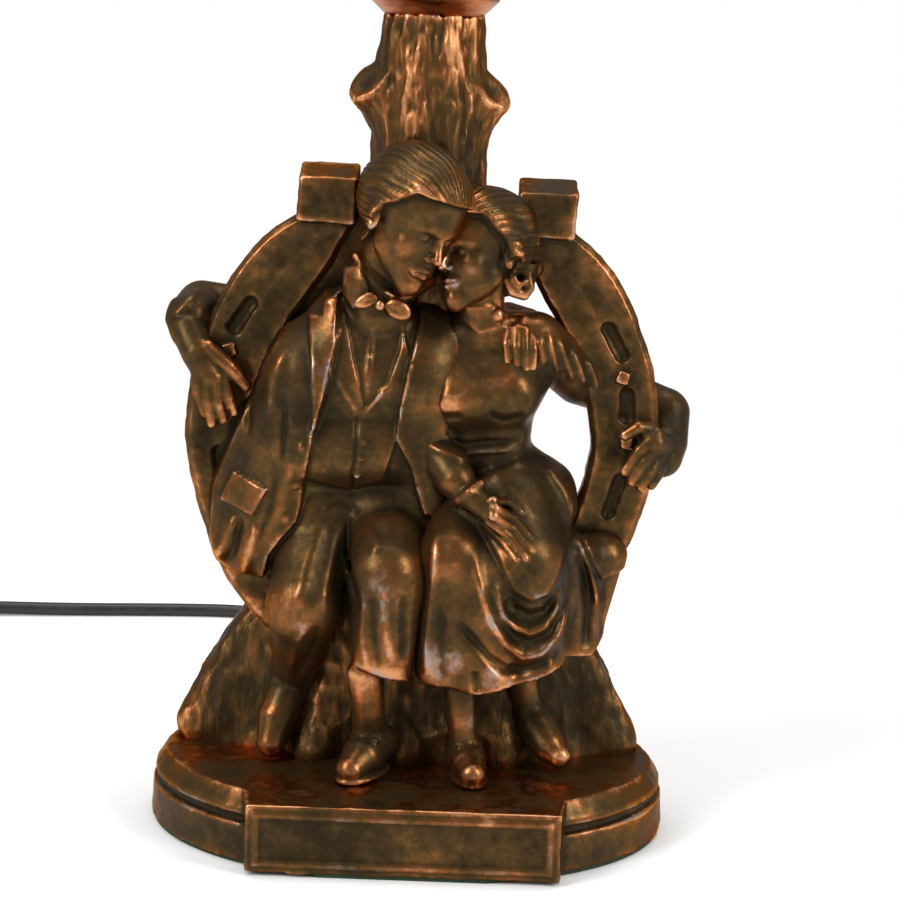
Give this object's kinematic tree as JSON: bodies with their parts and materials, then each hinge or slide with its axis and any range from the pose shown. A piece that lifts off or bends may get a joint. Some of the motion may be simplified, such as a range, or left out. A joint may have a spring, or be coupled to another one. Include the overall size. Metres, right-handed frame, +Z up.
{
  "type": "figural table lamp base",
  "caption": "Cast table lamp base: a seated couple in an upright horseshoe before a tree trunk, on an oval plinth, with a socket cup, turn-knob socket and cord.",
  "frame": {"origin": "centre of the plinth on the surface that the lamp stands on", "axes": "+Z up, the figures face -Y, +X is the viewer's right"},
  "size_m": [0.4039, 0.3399, 0.3596],
  "materials": {
    "plated_casting": "copper plate under a dark brown patina, rubbed bright copper on the high spots",
    "felt": "short-pile felt",
    "steel": "zinc-plated steel",
    "copper_cup": "satin copper plate with fine spinning lines",
    "brass": "satin brass",
    "brass_contact": "bare rolled brass",
    "liner_card": "waxed fibre card",
    "phenolic": "black moulded phenolic",
    "porcelain": "white glazed porcelain",
    "cord_black": "black PVC, slightly glossy",
    "lead_white": "white PVC"
  },
  "bodies": {
    "lamp": {"base_casting": "plated_casting", "base_felt": "felt", "trunk_casting": "plated_casting", "horseshoe": "plated_casting", "man_figure": "plated_casting", "woman_figure": "plated_casting", "lamp_pipe": "steel", "pipe_washer": "steel", "pipe_nut": "steel", "socket_cup": "copper_cup", "cup_locknut": "brass", "socket_cap": "brass", "cap_set_screw": "brass_contact", "socket_shell": "brass", "shell_liner": "liner_card", "socket_body": "porcelain", "screw_shell": "brass_contact", "centre_contact": "brass_contact", "terminal_screws": "brass_contact", "lead_live": "cord_black", "lead_neutral": "lead_white", "cord_bushing": "phenolic", "cord_inside": "cord_black", "cord_run": "cord_black", "cord_coil": "cord_black", "cord_tail": "cord_black", "cord_tie": "cord_black", "plug_body": "cord_black", "plug_blades": "brass_contact"},
    "switch": {"switch_shaft": "brass_contact", "switch_knob": "phenolic"}
  },
  "joints": [
    {"name": "switch_turn", "type": "hinge", "parent": "lamp", "child": "switch", "pos_m": [0, 0.012, 0.3261], "axis": [1, 0, 0], "continuous": true}
  ]
}
